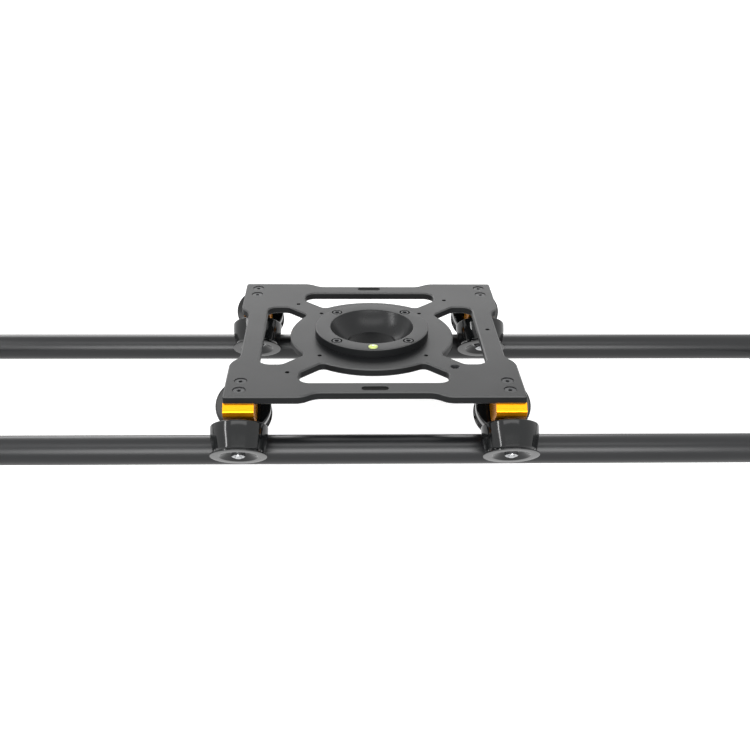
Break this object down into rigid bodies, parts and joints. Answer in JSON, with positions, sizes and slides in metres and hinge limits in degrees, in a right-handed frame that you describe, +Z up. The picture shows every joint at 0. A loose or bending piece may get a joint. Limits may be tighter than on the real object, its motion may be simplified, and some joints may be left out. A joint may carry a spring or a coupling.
{
  "type": "camera slider",
  "caption": "Camera slider: square carriage plate with a bowl mount, rolling on angled wheels along two round rails held by end stands.",
  "frame": {"origin": "on the floor under the middle of the track; the carriage at rest is centred over it", "axes": "+Z up, +X along the rails, -Y the front"},
  "size_m": [1.206, 0.4126, 0.1438],
  "materials": {
    "rail_black_anodised": "satin black anodised tube",
    "bracket_black_anodised": "bead-blasted black anodised",
    "plate_black_anodised": "bead-blasted black anodised",
    "truck_gold_anodised": "orange-gold anodised, satin",
    "wheel_polyurethane": "glossy cast polyurethane",
    "black_oxide_steel": "black oxide",
    "bright_steel": "zinc plated",
    "bearing_steel": "ground",
    "standoff_aluminium": "turned, black anodised",
    "foot_rubber": "matte",
    "black_plastic": "moulded, fine grain",
    "badge_black": "plain gloss",
    "level_frame": "moulded",
    "level_fluid": "clear acrylic over yellow-green fluid"
  },
  "bodies": {
    "track": {"front_rail": "rail_black_anodised", "back_rail": "rail_black_anodised", "rail_end_caps": "black_plastic", "clamp_screws": "black_oxide_steel", "foot_screws": "black_oxide_steel", "left_cross_bar": "bracket_black_anodised", "left_front_saddle": "bracket_black_anodised", "left_front_clamp_cap": "bracket_black_anodised", "left_front_foot": "foot_rubber", "left_front_buffer": "foot_rubber", "left_back_saddle": "bracket_black_anodised", "left_back_clamp_cap": "bracket_black_anodised", "left_back_foot": "foot_rubber", "left_back_buffer": "foot_rubber", "right_cross_bar": "bracket_black_anodised", "right_front_saddle": "bracket_black_anodised", "right_front_clamp_cap": "bracket_black_anodised", "right_front_foot": "foot_rubber", "right_front_buffer": "foot_rubber", "right_back_saddle": "bracket_black_anodised", "right_back_clamp_cap": "bracket_black_anodised", "right_back_foot": "foot_rubber", "right_back_buffer": "foot_rubber"},
    "carriage": {"accessory_bush": "black_oxide_steel", "bowl_screws": "black_oxide_steel", "truck_screws": "black_oxide_steel", "carriage_plate": "plate_black_anodised", "bowl": "plate_black_anodised", "front_badge": "badge_black", "back_badge": "badge_black", "axle_studs": "bright_steel", "axle_nuts": "bright_steel", "axle_washers": "bright_steel", "level_housing": "level_frame", "level_vial": "level_fluid", "bearing_core_spacers": "bearing_steel", "bearing_inner_rings": "bearing_steel", "bearing_balls": "bearing_steel", "axle_standoffs": "standoff_aluminium", "front_left_truck": "truck_gold_anodised", "front_right_truck": "truck_gold_anodised", "back_left_truck": "truck_gold_anodised", "back_right_truck": "truck_gold_anodised"},
    "front_left_outer_wheel": {"front_left_outer_tyre": "wheel_polyurethane", "front_left_outer_bearings": "bearing_steel"},
    "front_left_inner_wheel": {"front_left_inner_tyre": "wheel_polyurethane", "front_left_inner_bearings": "bearing_steel"},
    "front_right_outer_wheel": {"front_right_outer_tyre": "wheel_polyurethane", "front_right_outer_bearings": "bearing_steel"},
    "front_right_inner_wheel": {"front_right_inner_tyre": "wheel_polyurethane", "front_right_inner_bearings": "bearing_steel"},
    "back_left_outer_wheel": {"back_left_outer_tyre": "wheel_polyurethane", "back_left_outer_bearings": "bearing_steel"},
    "back_left_inner_wheel": {"back_left_inner_tyre": "wheel_polyurethane", "back_left_inner_bearings": "bearing_steel"},
    "back_right_outer_wheel": {"back_right_outer_tyre": "wheel_polyurethane", "back_right_outer_bearings": "bearing_steel"},
    "back_right_inner_wheel": {"back_right_inner_tyre": "wheel_polyurethane", "back_right_inner_bearings": "bearing_steel"}
  },
  "joints": [
    {"name": "carriage_slide", "type": "slide", "parent": "track", "child": "carriage", "axis": [1, 0, 0], "range_m": [-0.363, 0.363]},
    {"name": "front_left_outer_roll", "type": "hinge", "parent": "carriage", "child": "front_left_outer_wheel", "pos_m": [-0.147, -0.17044, 0.08464], "axis": [0, -0.7071, -0.7071], "continuous": true},
    {"name": "front_left_inner_roll", "type": "hinge", "parent": "carriage", "child": "front_left_inner_wheel", "pos_m": [-0.147, -0.10256, 0.08464], "axis": [0, 0.7071, -0.7071], "continuous": true},
    {"name": "front_right_outer_roll", "type": "hinge", "parent": "carriage", "child": "front_right_outer_wheel", "pos_m": [0.147, -0.17044, 0.08464], "axis": [0, -0.7071, -0.7071], "continuous": true},
    {"name": "front_right_inner_roll", "type": "hinge", "parent": "carriage", "child": "front_right_inner_wheel", "pos_m": [0.147, -0.10256, 0.08464], "axis": [0, 0.7071, -0.7071], "continuous": true},
    {"name": "back_left_outer_roll", "type": "hinge", "parent": "carriage", "child": "back_left_outer_wheel", "pos_m": [-0.147, 0.17044, 0.08464], "axis": [0, 0.7071, -0.7071], "continuous": true},
    {"name": "back_left_inner_roll", "type": "hinge", "parent": "carriage", "child": "back_left_inner_wheel", "pos_m": [-0.147, 0.10256, 0.08464], "axis": [0, -0.7071, -0.7071], "continuous": true},
    {"name": "back_right_outer_roll", "type": "hinge", "parent": "carriage", "child": "back_right_outer_wheel", "pos_m": [0.147, 0.17044, 0.08464], "axis": [0, 0.7071, -0.7071], "continuous": true},
    {"name": "back_right_inner_roll", "type": "hinge", "parent": "carriage", "child": "back_right_inner_wheel", "pos_m": [0.147, 0.10256, 0.08464], "axis": [0, -0.7071, -0.7071], "continuous": true}
  ],
  "couplings": [
    {"joint": "front_left_outer_roll", "follows": "carriage_slide", "rad_per_m": -32.258},
    {"joint": "front_left_inner_roll", "follows": "carriage_slide", "rad_per_m": 32.258},
    {"joint": "front_right_outer_roll", "follows": "carriage_slide", "rad_per_m": -32.258},
    {"joint": "front_right_inner_roll", "follows": "carriage_slide", "rad_per_m": 32.258},
    {"joint": "back_left_outer_roll", "follows": "carriage_slide", "rad_per_m": 32.258},
    {"joint": "back_left_inner_roll", "follows": "carriage_slide", "rad_per_m": -32.258},
    {"joint": "back_right_outer_roll", "follows": "carriage_slide", "rad_per_m": 32.258},
    {"joint": "back_right_inner_roll", "follows": "carriage_slide", "rad_per_m": -32.258}
  ]
}
